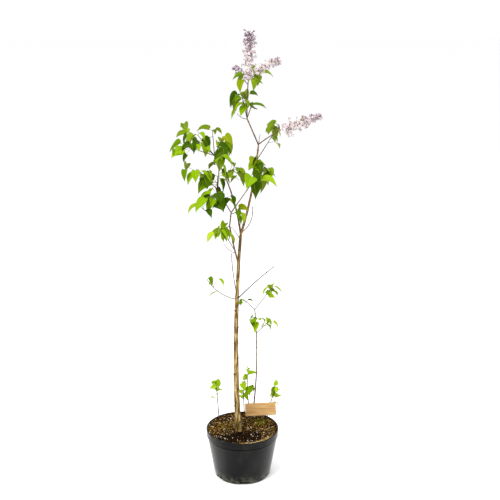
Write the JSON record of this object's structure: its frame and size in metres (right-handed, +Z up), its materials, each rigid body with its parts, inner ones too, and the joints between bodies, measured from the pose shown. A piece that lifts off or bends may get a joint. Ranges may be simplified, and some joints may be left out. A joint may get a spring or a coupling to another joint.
{
  "type": "potted lilac bush",
  "caption": "Young lilac bush in a round nursery pot: a slender trunk forking into boughs, with heart-shaped leaves, loose lilac flower heads, suckers at its foot and a blank label.",
  "frame": {"origin": "middle of the pot's flat underside", "axes": "+Z up along the trunk, front towards -Y with the label to the right at +X"},
  "size_m": [0.4708, 0.357, 1.4539],
  "materials": {
    "pot": "satin charcoal",
    "soil": "loose moist crumbs",
    "label": "bare planed board",
    "bark": "fine lengthwise fissures",
    "leaf": "smooth and slightly glossy",
    "blossom": "soft matt petals"
  },
  "bodies": {
    "root": {"pot": "pot", "soil": "soil", "label_board": "label", "label_stick": "label", "trunk": "bark", "leader_lower": "bark", "leader_upper": "bark", "leader_top": "bark", "right_bough": "bark", "left_bough": "bark", "middle_bough": "bark", "middle_bough_top": "bark", "middle_right_bough": "bark", "middle_left_bough": "bark", "low_right_twig": "bark", "side_twig": "bark", "fork_twig": "bark", "tall_sucker": "bark", "flowers_top": "blossom", "flowers_top_right": "blossom", "flowers_top_left": "blossom", "flowers_top_front": "blossom", "flowers_right": "blossom", "top_right": "leaf", "top_left": "leaf", "top_back": "leaf", "top_low_left": "leaf", "top_low_right": "leaf", "right": "leaf", "right_side": "leaf", "upper_left_outer": "leaf", "upper_left_far": "leaf", "upper_left_top": "leaf", "upper_left_high": "leaf", "upper_left_inner": "leaf", "upper_left_front": "leaf", "upper_left_low": "leaf", "middle_left_outer": "leaf", "middle_left_inner": "leaf", "middle_left_high": "leaf", "middle_left_low": "leaf", "middle_left_near": "leaf", "lower_left_outer": "leaf", "lower_left_low": "leaf", "middle_near": "leaf", "centre_high": "leaf", "centre_right": "leaf", "centre_left": "leaf", "centre_low": "leaf", "low_left": "leaf", "sucker_left": "leaf", "sucker_right": "leaf", "sucker_side": "leaf", "sucker_middle": "leaf", "sucker_low": "leaf", "sprout_left": "leaf", "sprout_near": "leaf", "sprout_tall": "leaf", "sprout_right": "leaf"}
  },
  "joints": []
}
